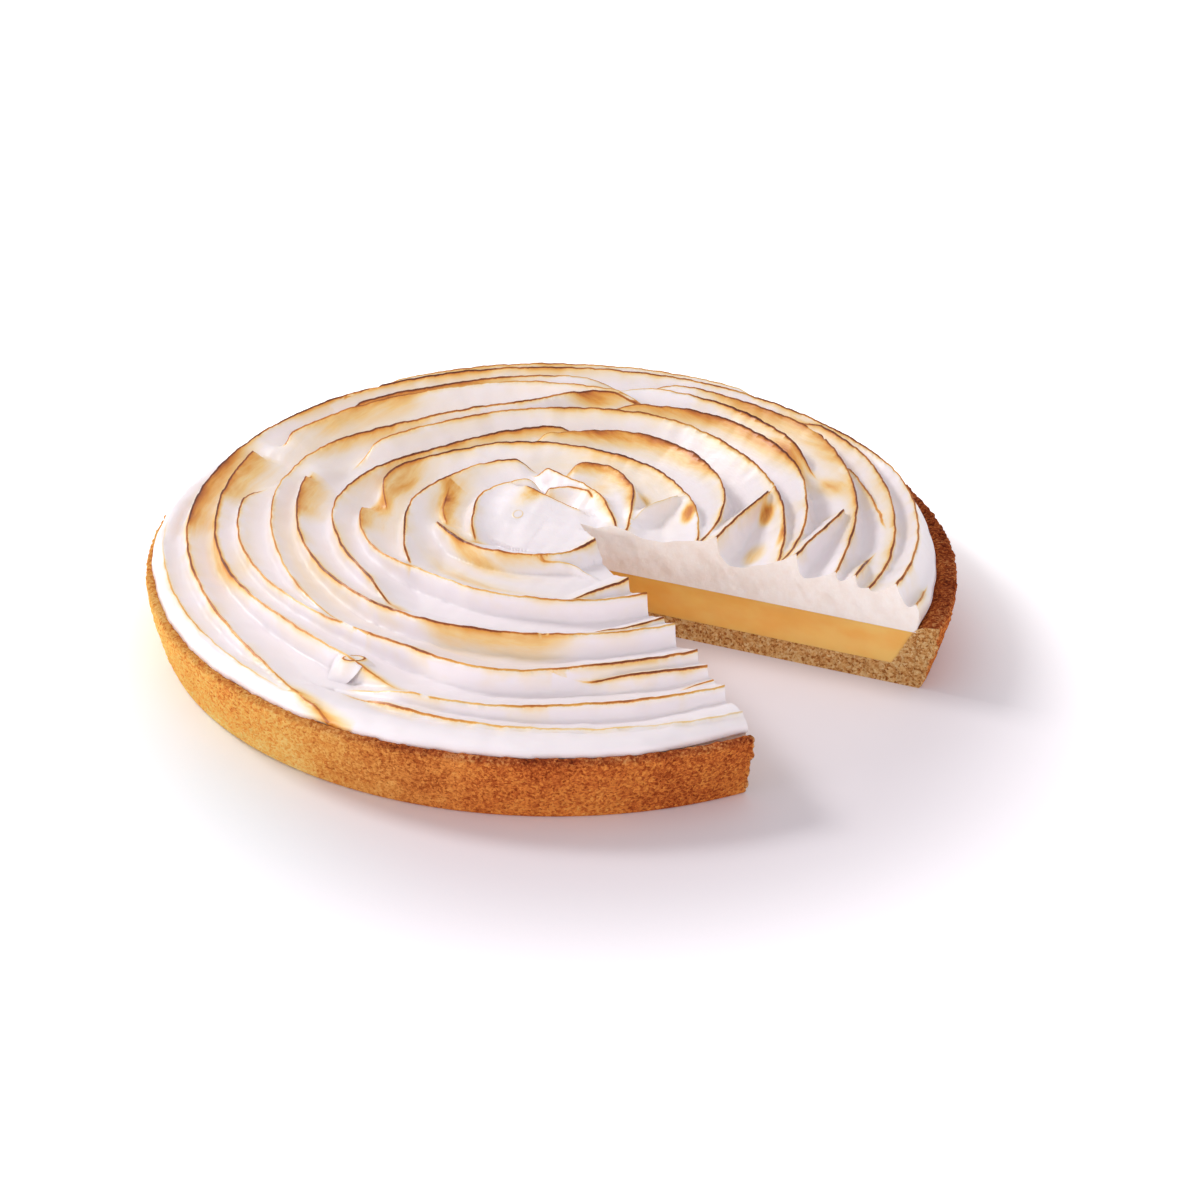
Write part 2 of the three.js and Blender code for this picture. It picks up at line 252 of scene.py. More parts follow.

# Patches of browning, two of them painted shade with some browning in pockets beside fins: turn,
# radius, half length along the turn, half width, strength, and how crisp the border is.
Patch = namedtuple("Patch", "turn radius along across strength crisp", defaults=(1.0,))
PATCHES = [
    (128, 47, 22, 4, 0.26),
    (245, 13, 7, 3.2, 0.46),
    (329, 100, 13, 1.6, 0.7),
    (343, 104.5, 9, 2.4, 0.45),
    (278, 95, 7, 1.8, 0.5),
    (357, 99, 3, 1.6, 0.6),
    (280, 107, 7, 2.2, 0.5),
    # painted shade with some browning, in the pocket under the fin U2
    (361.5, 47.6, 5.5, 2.0, 0.55, 2),
    # painted shade with some browning, in the pocket between U and G
    (357, 75.8, 6.5, 1.9, 0.66, 2),
    (367.4, 81, 9, 0.9, 0.6, 2),
    (375.5, 75, 7, 3, 0.3, 2),
    (168, 108.5, 12, 3.5, 0.12),
    (336, 36, 4, 2, 0.4),
    (204, 41.5, 12, 4.5, 0.34),
    (208, 61, 11, 2.6, 0.42),
    (195, 63, 6, 2.4, 0.36),
    (146, 35.5, 20, 3.2, 0.36),
    (306, 28, 7, 5, 0.2),
    (222, 108, 50, 13, 0.12),
    (240, 92, 50, 8, 0.08),
    (285, 66, 40, 9, 0.1),
    (300, 42, 40, 7, 0.14),
    (200, 58, 30, 5, 0.14),
    (212, 72, 30, 6, 0.1),
    (160, 90, 40, 5, 0.1),
]

# Places where the troughs are filled about half way up, given as the patches are.
FILLS = [
    (282, 104, 22, 8, 0.5),
    (211, 118, 6, 8, 0.55),
    (203, 92, 8, 5, 0.5),
]

# Small curls left by the icing tool: middle, radius of the lip, how far it stands above the
# surface, how much it follows the slope there, its depth over its width, and how brown it is.
Curl = namedtuple("Curl", "x y size lift tilt narrow brown")
CURLS = [
    Curl(-61.9, -91.0, 3.5, 0.3, 0.0, 0.5, 0.75),
    Curl(-12.0, 1.4, 1.7, 0.15, 1.0, 1.0, 0.16),
]

# Ridge ends that stand up as a peak, with the length over which they drop. The others taper off
# over TAPER, or over TAPER_TURN where that is less.
PEAK_ENDS = {
    "C stop": 6,
    "O stop": 7,
    "E start": 8,
    "U start": 4,
    "U2 start": 4,
    "H2 start": 5,
    "OL start": 16,
    "Z2 start": 10,
}
TAPER = 34.0
TAPER_TURN = 17.0

# ---- camera

CAMERA_PLACE = Vector((16.76, -983.75, 538.53)) * MM
CAMERA_PITCH = math.radians(28.488)
CAMERA_ROLL = math.radians(0.786)
CAMERA_LENS = 96.0
SENSOR_WIDTH = 36.0


def make_camera():
    data = bpy.data.cameras.new("camera")
    data.lens = CAMERA_LENS
    data.sensor_width = SENSOR_WIDTH
    data.clip_start = 0.01
    camera = new_object("camera", data)
    forward = Vector((0, math.cos(CAMERA_PITCH), -math.sin(CAMERA_PITCH)))
    right = Vector((1, 0, 0))
    up = right.cross(forward)
    side = math.cos(CAMERA_ROLL) * right + math.sin(CAMERA_ROLL) * up
    top = -math.sin(CAMERA_ROLL) * right + math.cos(CAMERA_ROLL) * up
    turned = Matrix((side, top, -forward)).transposed().to_4x4()
    camera.matrix_world = Matrix.Translation(CAMERA_PLACE) @ turned
    bpy.context.scene.camera = camera


# ---- small helpers


def new_object(name, data):
    made = bpy.data.objects.new(name, data)
    bpy.context.scene.collection.objects.link(made)
    return made


def smooth(low, high, x):
    """0 below low, 1 above high, and a smooth change between them."""
    share = np.clip((x - low) / (high - low), 0, 1)
    return share * share * (3 - 2 * share)


def direction_of(turn):
    angle = np.radians(turn)
    return np.stack([np.cos(angle), -np.sin(angle)], axis=-1)


def turn_of(points, near):
    """Turn of each point about the pie's centre, the one within half a circle of near."""
    turn = -np.degrees(np.arctan2(points[..., 1], points[..., 0]))
    return turn + 360 * np.round((near - turn) / 360)


def waves(x, seed, counts, size=1.0):
    """Smooth unevenness along x, from a few sines that never line up. Mostly within +-size."""
    draw = np.random.default_rng(seed)
    starts = draw.uniform(0, 2 * math.pi, len(counts))
    total = sum(np.sin(count * x + start) for count, start in zip(counts, starts))
    return size * total / math.sqrt(len(counts))


def foam(x, y, seed, scale, layers=18):
    """Smooth two-way unevenness with bumps about scale wide. Mostly within +-1."""
    draw = np.random.default_rng(seed)
    total = np.zeros(np.broadcast(x, y).shape)
    for _ in range(layers):
        heading = draw.uniform(0, 2 * math.pi)
        count = 2 * math.pi / (scale * draw.uniform(1.2, 3.2))
        start = draw.uniform(0, 2 * math.pi)
        total += np.sin(count * (x * math.cos(heading) + y * math.sin(heading)) + start)
    return total / math.sqrt(layers)


# ---- shape of the meringue


def back_share(radius, turn):
    return smooth(BACK_STARTS_TURN, BACK_FULL_TURN, turn) * smooth(4, 24, radius)


def front_share(turn):
    """1 in front, where the outer sides of the ridges face the camera and stand up steep."""
    return 1 - smooth(135, 190, turn)


def peak_bump(radius):
    return PEAK_RISE * np.exp(-((radius / PEAK_RADIUS) ** 2))


def dome_height(radius, turn):
    front = FRONT_TOP - FRONT_FALL * (radius / DOME_RADIUS) ** 4
    back = BACK_TOP - BACK_FALL * (radius / DOME_RADIUS) ** 6
    share = back_share(radius, turn)
    return front + (back - front) * share


def patch_share(row, radius, turn):
    """A patch's strength at its middle, fading out around it."""
    patch = Patch(*row)
    along = np.radians(turn - patch.turn) * patch.radius / patch.along
    across = (radius - patch.radius) / patch.across
    return patch.strength * np.exp(-((along**2 + across**2) ** patch.crisp))


def trough_depth(radius, turn):
    depth = TROUGH_DEPTH + BACK_EXTRA_DEPTH * back_share(radius, turn) * smooth(45, 65, radius)
    depth = depth + FRONT_EXTRA_DEPTH * front_share(turn) * smooth(34, 56, radius)
    depth = depth * (0.55 + 0.45 * smooth(6, 26, radius))
    for row in FILLS:
        depth = depth * (1 - patch_share(row, radius, turn))
    return depth


def trough_floor(radius, turn):
    return dome_height(radius, turn) - trough_depth(radius, turn)


def ridge_range(ridge):
    early = RIDGE_OVERRUN if ridge.open_side == "start" else 0
    late = RIDGE_OVERRUN if ridge.open_side == "end" else 0
    return ridge.start - early, ridge.stop + late


def along_list(values, share):
    """Catmull-Rom curve through evenly spaced values, running straight on past its ends."""
    values = np.asarray(values, float)
    last = len(values) - 1
    padded = np.concatenate([[2 * values[0] - values[1]], values, [2 * values[-1] - values[-2]]])
    place = share * last
    index = np.clip(np.floor(place), 0, last - 1).astype(int)
    before, first, second, after = (padded[index + k] for k in range(4))
    t = place - index
    slope = second - before + t * (2 * before - 5 * first + 4 * second - after)
    bend = t * t * (3 * first - before - 3 * second + after)
    return first + 0.5 * t * (slope + bend)


def crest_radius(name, turn):
    """Radius of a ridge's crest at each turn, nan where the ridge doesn't reach."""
    ridge = RIDGES[name]
    first, final = ridge_range(ridge)
    share = (turn - ridge.start) / (ridge.stop - ridge.start)
    radius = along_list(ridge.radii, share)
    length = np.radians(turn) * np.mean(ridge.radii)
    radius = radius + waves(length, list(RIDGES).index(name) + 100, [0.11, 0.23, 0.41, 0.66], 0.14)
    return np.where((turn < first) | (turn > final), np.nan, radius)


def ridge_share(name, turn, crest):
    """How much of a ridge stands: all of it, and less towards an end that isn't open."""
    ridge = RIDGES[name]
    share = np.ones_like(turn)
    for end, side, sign in (("start", "start", 1), ("stop", "end", -1)):
        if ridge.open_side == side:
            continue
        length = PEAK_ENDS.get(f"{name} {end}", TAPER)
        fade = np.minimum(np.degrees(length / np.maximum(crest, PEAK_RADIUS)), TAPER_TURN)
        share = share * smooth(0, 1, sign * (turn - getattr(ridge, end)) / fade)
    return share


def ridge_height(name, radius, turn):
    ridge = RIDGES[name]
    crest = crest_radius(name, turn)
    front = front_share(turn)
    outer = OUTER_SIDE + BACK_EXTRA_SIDE * back_share(crest, turn) - FRONT_LESS_SIDE * front
    side = np.where(radius < crest, INNER_SIDE, outer)
    reach = np.abs(radius - crest) / (side * ridge.size)
    depth = trough_depth(crest, turn) + peak_bump(crest) * (1 - back_share(crest, turn))
    end_lift = ridge.end_lift * smooth(ridge.stop - 32, ridge.stop, turn)
    length = np.radians(turn) * np.mean(ridge.radii)
    ragged = waves(length, list(RIDGES).index(name), [0.35, 0.8, 1.7], 0.13)
    ragged = ragged * np.maximum(0, 1 - reach) ** 5
    rise = (depth * ridge.size + end_lift + ragged) * ridge_share(name, turn, crest)
    hollow = np.where(radius < crest, INNER_HOLLOW, OUTER_HOLLOW)
    hollow = hollow + (FRONT_HOLLOW - hollow) * front
    slope = np.maximum(0, 1 - reach) ** hollow
    height = trough_floor(radius, turn) + rise * slope
    return np.where(reach < 1, height, -np.inf)


def mound_offset(radius, turn):
    """Distance from the mound's top line, whether in front of it, and the line's height."""
    points = radius[..., None] * direction_of(turn)
    nearest = np.full(radius.shape, np.inf)
    front = np.zeros(radius.shape, bool)
    level = np.zeros(radius.shape)
    for first, second in zip(MOUND_LINE[:-1], MOUND_LINE[1:]):
        start = np.array(first[:2])
        step = np.array(second[:2]) - start
        share = np.clip((points - start) @ step / (step @ step), 0, 1)
        offset = points - start - share[..., None] * step
        distance = np.linalg.norm(offset, axis=-1)
        closer = distance < nearest
        nearest = np.where(closer, distance, nearest)
        front = np.where(closer, offset[..., 0] * step[1] - offset[..., 1] * step[0] > 0, front)
        level = np.where(closer, first[2] + share * (second[2] - first[2]), level)
    return nearest, front, level


def mound_height(radius, turn):
    distance, front, level = mound_offset(radius, turn)
    reach = distance / np.where(front, MOUND_FRONT, MOUND_BACK)
    height = MOUND_FLOOR + (level - MOUND_FLOOR) * np.maximum(0, 1 - reach) ** MOUND_HOLLOW
    return np.where(reach < 1, np.maximum(height, MOUND_FLOOR), -np.inf)


def swirl_height(radius, turn):
    floor = trough_floor(radius, turn)
    highest = floor
    second = np.full_like(highest, -np.inf)
    for height in [*(ridge_height(name, radius, turn) for name in RIDGES), mound_height(radius, turn)]:
        height = np.where(np.isnan(height), -np.inf, height)
        second = np.where(height > highest, highest, np.maximum(second, height))
        highest = np.maximum(highest, height)
    closeness = np.maximum(0, 1 - (highest - second) / TROUGH_ROUNDING)
    above = smooth(0, 1.5, highest - floor)
    return highest + 0.25 * TROUGH_ROUNDING * closeness**2 * above


def edge_radius(turn):
    changes = sum(by * smooth(first, final, turn) for first, final, by in EDGE_CHANGES)
    length = np.radians(turn) * EDGE_RADIUS
    return EDGE_RADIUS + changes + waves(length, 9, [0.03, 0.07, 0.16, 0.33], 0.3)


def meringue_height(radius, turn):
    out = np.maximum(0, 1 - (edge_radius(turn) - radius) / SHOULDER_WIDTH)
    shoulder = EDGE_LOW + SHOULDER_HEIGHT * np.sqrt(np.maximum(0, 1 - out**2))
    at_left = smooth(124, 146, turn) * (1 - smooth(188, 215, turn))
    width = LIP_WIDTH + (LEFT_LIP_WIDTH - LIP_WIDTH) * at_left
    swollen = LIP_HEIGHT * np.sqrt(np.clip(1 - ((radius - edge_radius(turn)) / width + 1) ** 2, 0, 1))
    low = np.where(radius > edge_radius(turn) - 2 * width, LIP_LOW + swollen, EDGE_LOW)
    return np.minimum(np.maximum(swirl_height(radius, turn), low), shoulder)


# ---- meshes


def square_faces(columns, rows, heights=None):
    """Two triangles for each square of a grid, split so that the higher pair stays joined."""
    index = np.arange(columns * rows).reshape(columns, rows)
    a, b = index[:-1, :-1].ravel(), index[1:, :-1].ravel()
    c, d = index[1:, 1:].ravel(), index[:-1, 1:].ravel()
    if heights is None:
        split = np.ones(len(a), bool)
    else:
        z = heights.ravel()
        split = z[a] + z[c] >= z[b] + z[d]
    first = np.where(split[:, None], np.stack([a, b, c], 1), np.stack([a, b, d], 1))
    second = np.where(split[:, None], np.stack([a, c, d], 1), np.stack([b, c, d], 1))
    return np.concatenate([first, second])


class Sheets:
    """Gathers sheets of triangles with a value for each point, and makes one mesh of them."""

    def __init__(self, value_names):
        self.value_names = value_names
        self.points = []
        self.faces = []
        self.values = {name: [] for name in value_names}
        self.count = 0

    def add(self, points, faces, outward, **values):
        points = np.asarray(points, float).reshape(-1, 3)
        corner = points[faces]
        normal = np.cross(corner[:, 1] - corner[:, 0], corner[:, 2] - corner[:, 0])
        faces = faces[np.linalg.norm(normal, axis=1) > 1e-6]
        if float((normal @ np.asarray(outward, float)).sum()) < 0:
            faces = faces[:, ::-1]
        self.points.append(points)
        self.faces.append(faces + self.count)
        for name in self.value_names:
            value = np.broadcast_to(values.get(name, 0.0), len(points))
            self.values[name].append(value)
        self.count += len(points)

    def add_grid(self, points, outward, split_by_height=False, **values):
        columns, rows = points.shape[:2]
        heights = points[..., 2] if split_by_height else None
        flat = {name: np.broadcast_to(value, (columns, rows)).ravel() for name, value in values.items()}
        self.add(points, square_faces(columns, rows, heights), outward, **flat)

    def add_fan(self, middle, rim, outward):
        points = np.concatenate([[middle], rim])
        count = len(rim)
        ring = np.arange(1, count)
        faces = np.stack([np.zeros(count - 1, int), ring, ring + 1], 1)
        self.add(points, faces, outward)

    def make(self, name):
        mesh = bpy.data.meshes.new(name)
        points = np.concatenate(self.points) * MM
        faces = np.concatenate(self.faces)
        mesh.from_pydata(points.tolist(), [], faces.tolist())
        for value_name in self.value_names:
            layer = mesh.attributes.new(value_name, "FLOAT", "POINT")
            layer.data.foreach_set("value", np.concatenate(self.values[value_name]).astype(np.float32))
        mesh.polygons.foreach_set("use_smooth", [True] * len(mesh.polygons))
        mesh.update()
        return new_object(name, mesh)


def reach_of(turn, radius):
    """How far from the tip a ray at this turn meets the circle of this radius."""
    direction = direction_of(turn)
    along = direction @ TIP
    return -along + np.sqrt(along**2 + radius**2 - TIP @ TIP)


def cut_normal(turn, side):
    direction = direction_of(turn + side)
    return np.array([direction[0], direction[1], 0.0])


def reach_at(points):
    return np.linalg.norm(points[..., :2] - TIP, axis=-1)


def cut_line(cut_turn, reach, level):
    """Points of a cut at these distances from the tip, all at one height."""
    return np.column_stack([TIP + reach[:, None] * direction_of(cut_turn), np.full(len(reach), level)])


# Each cut: its column in a grid, its turn, and how far round from it its face looks.
CUTS = [(0, FIRST_CUT_TURN, -90), (-1, LAST_CUT_TURN, 90)]
CUT_POINTS = 150
FLAT_MIDDLE = -3 * TIP


def add_cut(sheets, upper, lower, normal, rows, relief, seed, scale, **values):
    """Face of a cut between an upper and a lower chain, with its inside torn a little."""
    share = np.linspace(0, 1, rows + 1)[None, :, None]
    points = lower[:, None] + (upper - lower)[:, None] * share
    along = reach_at(points)
    uneven = foam(along, points[..., 2], seed, scale)
    uneven = uneven + 0.5 * foam(along, points[..., 2], seed + 1, scale / 2.3)
    inside = np.sin(np.pi * share[..., 0]) ** 0.5 * np.ones(len(upper))[:, None]
    height = np.linalg.norm(upper - lower, axis=-1)[:, None]
    inside = inside * smooth(0, 3, height) * smooth(0, 4, along)
    points = points - normal * (relief * inside * (0.9 + uneven))[..., None]
    sheets.add_grid(points, normal, cut=1.0, **values)


def add_flat(sheets, chains, wall, level, facing):
    """Flat face between the two cuts and the wall, looking up for 1 and down for -1."""
    rim = np.concatenate([chains[0], wall, chains[1][::-1]])
    sheets.add_fan(np.append(FLAT_MIDDLE, level), rim, (0, 0, facing))


# ---- meringue

MERINGUE_COLUMNS = 470
MERINGUE_RINGS = 178
MERINGUE_BOTTOM = LEMON_TOP + LAYER_STEP
LEAN = 0.38

# Distances that stand for no crest: in the search for the nearest one, and stored in the mesh.
FAR = 99.0
NO_CREST = 20.0

# A curl from its middle outwards: share of its radius, and height as a share of the same.
CURL_OUT = np.array([0, 0.4, 0.7, 0.88, 1, 1.12, 1.35, 1.7, 2.1, 2.6])
CURL_RISE = np.array([-0.12, -0.12, -0.09, -0.03, 0, -0.04, -0.12, -0.2, -0.2, -0.2])


def column_turns(columns):
    return np.linspace(FIRST_CUT_TURN, LAST_CUT_TURN, columns + 1)


def at_reach(turns, reach):
    return TIP + reach[..., None] * direction_of(turns)


def meringue_reaches(turns):
    """Distances from the tip of the points of each column, with one on every crest it meets."""
    edge = edge_radius(turns)
    for _ in range(3):
        end = reach_of(turns, edge)
        edge = edge_radius(turn_of(at_reach(turns, end), turns))
    share = np.linspace(0, 1, MERINGUE_RINGS + 1)
    share = 1 - (1 - share) * (1 - 0.12 * share**8)
    reach = end[:, None] * share
    points = at_reach(turns[:, None], reach)
    radius = np.linalg.norm(points, axis=-1)
    turn = turn_of(points, turns[:, None])
    for name in RIDGES:
        offset = radius - crest_radius(name, turn)
        before, after = offset[:, :-1], offset[:, 1:]
        column, row = np.nonzero(before * after < 0)
        share_in = before[column, row] / (before[column, row] - after[column, row])
        met = reach[column, row] + share_in * (reach[column, row + 1] - reach[column, row])
        nearest = np.clip(row + (share_in > 0.5), 1, MERINGUE_RINGS - 1)
        reach[column, nearest] = met
    return np.sort(reach, axis=1)


def crest_values(radius, turn):
    """Distance to the nearest crest, and how dark the line along that crest is."""
    nearest = np.full_like(radius, FAR)
    burn = np.zeros_like(radius)
    for name, ridge in RIDGES.items():
        crest = crest_radius(name, turn)
        share = np.clip((turn - ridge.start) / (ridge.stop - ridge.start), 0, 1)
        levels = BURNS[name]
        level = np.interp(share, np.linspace(0, 1, len(levels)), levels)
        level = level * smooth(0.1, 0.55, ridge_share(name, turn, crest))
        distance = np.where(np.isnan(crest), FAR, np.abs(radius - crest))
        closer = distance < nearest
        burn = np.where(closer, level, burn)
        nearest = np.where(closer, distance, nearest)
    distance, _, height = mound_offset(radius, turn)
    closer = distance < nearest
    burn = np.where(closer, MOUND_BURN * smooth(37.8, 38.6, height), burn)
    nearest = np.where(closer, distance, nearest)
    return nearest, burn


def browning_and_pocket_shade(radius, turn):
    """Broad browning from 0 to 1, of the toasts and the patches together. Two of the patches are painted
    shade in pockets.
    """
    plain = np.ones_like(radius)
    for toast in (Toast(*row) for row in TOASTS):
        crest = crest_radius(toast.ridge, turn)
        offset = radius - np.where(np.isnan(crest), 10 * FAR, crest)
        fade = 0.3 * (toast.stop - toast.start)
        along = smooth(0, fade, turn - toast.start) * smooth(0, fade, toast.stop - turn)
        width = np.where(offset < 0, toast.inside, toast.outside) * (0.5 + 0.5 * along)
        across = np.maximum(0, 1 - np.abs(offset) / width) ** 1.4
        plain = plain * (1 - toast.strength * along * across)
    for row in PATCHES:
        plain = plain * (1 - patch_share(row, radius, turn))
    return 1 - plain


def surface_level(x, y):
    """Height of the meringue over a place."""
    place = np.stack(np.broadcast_arrays(x, y), axis=-1)
    middle_turn = (FIRST_CUT_TURN + LAST_CUT_TURN) / 2
    return meringue_height(np.linalg.norm(place, axis=-1), turn_of(place, middle_turn))


def add_curl(sheets, curl):
    """A small ring with a browned lip, whose foot sinks into the meringue."""
    around = np.linspace(0, 2 * math.pi, 41)[:, None]
    out = CURL_OUT[None]
    x = curl.x + curl.size * out * np.cos(around)
    y = curl.y + curl.size * out * np.sin(around) * curl.narrow
    surface = surface_level(x, y)
    middle = surface_level(np.array([curl.x]), np.array([curl.y]))
    level = middle + curl.tilt * (surface - middle) + curl.lift + curl.size * CURL_RISE[None]
    sunk = smooth(0.95, 2.6, out)
    height = level + (np.minimum(surface - 0.3, level) - level) * sunk
    points = np.stack([x, y, height], axis=-1)
    from_lip = curl.size * np.abs(out - 1)
    sheets.add_grid(points, (0, 0, 1), crest=from_lip, burn=curl.brown, across=np.hypot(x, y))


def meringue_top(turns, reach, flat, radius, turn):
    """The swirled surface. Its crests lean outwards, over the troughs beside them."""
    height = meringue_height(radius, turn)
    height = height + 0.12 * foam(flat[..., 0], flat[..., 1], 5, 4.0)
    edge = edge_radius(turn)
    sunk = np.clip(trough_depth(radius, turn) - (height - trough_floor(radius, turn)), 0, None)
    lean = LEAN * sunk * smooth(12, 34, reach) * (1 - smooth(edge - 16, edge - 6, radius))
    return np.concatenate([at_reach(turns[:, None], reach - lean), height[..., None]], axis=-1)


def meringue_under(turns, edge):
    """Rows below the edge, where the meringue turns under to the rim and down to the cream."""
    under_radius = edge - EDGE_UNDERCUT
    over_rim = CASE_HEIGHT - 1.2
    plug = np.minimum(under_radius - 0.2, PLUG_RADIUS)
    rows = []
    for radius, height in [(under_radius, over_rim), (plug, over_rim), (plug, MERINGUE_BOTTOM)]:
        points = at_reach(turns, reach_of(turns, radius))
        rows.append(np.column_stack([points, np.full(len(turns), height)]))
    return np.stack(rows, axis=1)


def meringue_values(radius, turn, rows_under):
    """What the material reads at each point, with one plain value for the rows below the edge."""
    crest, burn = crest_values(radius, turn)
    values = {
        "crest": (crest, NO_CREST),
        "burn": (burn, 0.0),
        # toast carries the broad browning and the painted shade of two pockets
        "toast": (browning_and_pocket_shade(radius, turn), 0.0),
        "across": (radius, EDGE_RADIUS),
        "along": (np.radians(turn) * 80, 0.0),
    }
    around = ((0, 0), (0, rows_under))
    return {name: np.pad(value, around, constant_values=below) for name, (value, below) in values.items()}


def add_meringue_cuts(sheets, whole):
    chains = []
    for column, cut_turn, side in CUTS:
        upper = whole[column]
        low_reach = np.minimum(reach_at(upper), reach_at(upper[-1]))
        lower = cut_line(cut_turn, low_reach, MERINGUE_BOTTOM)
        normal = cut_normal(cut_turn, side)
        add_cut(sheets, upper, lower, normal, 14, 0.28, 31 + column, 5.0, crest=NO_CREST)
        chains.append(lower)
    add_flat(sheets, chains, whole[1:-1, -1], MERINGUE_BOTTOM, -1)


def make_meringue():
    turns = column_turns(MERINGUE_COLUMNS)
    reach = meringue_reaches(turns)
    flat = at_reach(turns[:, None], reach)
    radius = np.linalg.norm(flat, axis=-1)
    turn = turn_of(flat, turns[:, None])
    top = meringue_top(turns, reach, flat, radius, turn)
    under = meringue_under(turns, edge_radius(turn)[:, -1])
    whole = np.concatenate([top, under], axis=1)
    values = meringue_values(radius, turn, under.shape[1])

    sheets = Sheets(["crest", "burn", "toast", "cut", "across", "along"])
    sheets.add_grid(whole, (0, 0, 1), split_by_height=True, **values)
    add_meringue_cuts(sheets, whole)
    for curl in CURLS:
        add_curl(sheets, curl)
    return sheets.make("meringue_swirls")


# ---- pastry case

CASE_COLUMNS = 900
INNER_ROWS = 26
OUTER_ROWS = 44
WALL_CUT_POINTS = 40


def along_profile(corners, count):
    """Evenly spaced points along a line of corners. Each corner is a pair of arrays."""
    corners = np.stack([np.stack(np.broadcast_arrays(*corner), -1) for corner in corners], axis=-2)
    steps = np.linalg.norm(np.diff(corners.mean(axis=0), axis=0), axis=-1)
    places = np.concatenate([[0], np.cumsum(steps)])
    wanted = np.linspace(0, places[-1], count)
    index = np.clip(np.searchsorted(places, wanted, side="right") - 1, 0, len(steps) - 1)
    share = ((wanted - places[index]) / steps[index])[None, :, None]
    return corners[:, index] * (1 - share) + corners[:, index + 1] * share


def unevenness(turn):
    counts = [(7, 0.4), (13, 2.1), (23, 4.4)]
    return sum(np.sin(np.radians(turn * count) + start) for count, start in counts) / len(counts)


def stand_back(turn):
    """1 where the meringue stands back from the rim and shows the inside of the wall."""
    return smooth(335, 352, turn)


def wall_profile(about):
    """Radius and height of the wall at each turn: up its inside, over the rim and down its outside."""
    ones = np.ones_like(about)
    wave = RIM_WAVE * unevenness(about)
    bulge = WALL_BULGE * unevenness(2 * about)
    thick = stand_back(about)
    inner = along_profile(
        [
            (125.5 - 1.5 * thick, BASE_THICKNESS * ones),
            (129 - 3.5 * thick, 9.9 * ones),
            (133 - 4.2 * thick, 16.3 * ones),
            (135.3 - 4.2 * thick, 21 * ones),
            (136.2 - 3.2 * thick, 22.5 * ones),
            (137.3 - 1.8 * thick, CASE_HEIGHT + wave - 0.1),
            (138.4 * ones, CASE_HEIGHT + wave),
        ],
        INNER_ROWS,
    )
    outer = along_profile(
        [
            (138.4 * ones, CASE_HEIGHT + wave),
            (139.2 * ones, CASE_HEIGHT + wave - 0.2),
            (139.75 * ones, CASE_HEIGHT - 0.9 + wave),
            (139.8 * ones, 21.2 + wave),
            (139 + bulge, 16 * ones),
            (137.2 + bulge, 9 * ones),
            (135.4 + bulge, 2.4 * ones),
            (135.1 * ones, 0.8 * ones),
            (FOOT_RADIUS * ones, 0 * ones),
        ],
        OUTER_ROWS,
    )
    return np.concatenate([inner, outer[:, 1:]], axis=1)


def crumbly_wall(profile, turns, about):
    """The wall's points, roughened most at the cuts and on the rim, and least under the cream."""
    radius, height = profile[..., 0], profile[..., 1]
    arc = np.radians(about)[:, None] * RIM_RADIUS
    steps = np.linalg.norm(np.diff(profile.mean(axis=0), axis=0), axis=-1)
    girth = np.cumsum(np.concatenate([[0], steps]))[None]
    crumb = 0.2 * foam(arc, girth, 51, 2.4) + 0.2 * foam(arc, girth, 52, 1.1)
    from_cut = np.minimum(turns - turns[0], turns[-1] - turns)[:, None]
    crumb = crumb * (1 + 1.4 * (1 - smooth(0, 1.0, from_cut)))
    covered = (np.arange(profile.shape[1]) < INNER_ROWS) * (1 - smooth(20.5, 22.5, height))
    crumb = crumb * (1 - 0.85 * covered)
    rough = smooth(0, 3, height) * smooth(0, 4, girth)
    ragged = waves(arc, 53, [0.55, 0.83, 1.3, 1.9], 0.22)
    radius = radius + crumb * rough
    height = height + (0.7 * crumb + ragged) * smooth(21, 23, height) * rough
    reach = reach_of(turns[:, None], radius)
    return np.concatenate([at_reach(turns[:, None], reach), height[..., None]], axis=-1)


def add_crust_cuts(sheets, band):
    floors = []
    feet = []
    for column, cut_turn, side in CUTS:
        wall = band[column]
        floor = cut_line(cut_turn, np.linspace(0, reach_at(wall[0]), CUT_POINTS), BASE_THICKNESS)
        foot = cut_line(cut_turn, np.linspace(0, reach_at(wall[-1]), CUT_POINTS), 0.0)
        inside = resample(wall[:INNER_ROWS], WALL_CUT_POINTS)
        outside = resample(wall[INNER_ROWS - 1 :][::-1], WALL_CUT_POINTS)
        upper = np.concatenate([floor, inside[1:]])
        lower = np.concatenate([foot, outside[1:]])
        add_cut(sheets, upper, lower, cut_normal(cut_turn, side), 12, 0.4, 61 + column, 1.8)
        floors.append(floor)
        feet.append(foot)
    add_flat(sheets, floors, band[1:-1, 0], BASE_THICKNESS, 1)
    add_flat(sheets, feet, band[1:-1, -1], 0.0, -1)


def make_crust():
    turns = column_turns(CASE_COLUMNS)
    about = turn_of(at_reach(turns, reach_of(turns, np.full_like(turns, RIM_RADIUS))), turns)
    band = crumbly_wall(wall_profile(about), turns, about)
    sheets = Sheets(["cut", "rim"])
    rim_value = np.concatenate([np.linspace(0, 1, INNER_ROWS), np.linspace(1, 2, OUTER_ROWS)[1:]])
    at_cut = np.zeros(len(turns))
    at_cut[[0, -1]] = 0.7
    sheets.add_grid(band, (0, 0, 1), rim=rim_value[None], cut=at_cut[:, None])
    add_crust_cuts(sheets, band)
    return sheets.make("pastry_case")


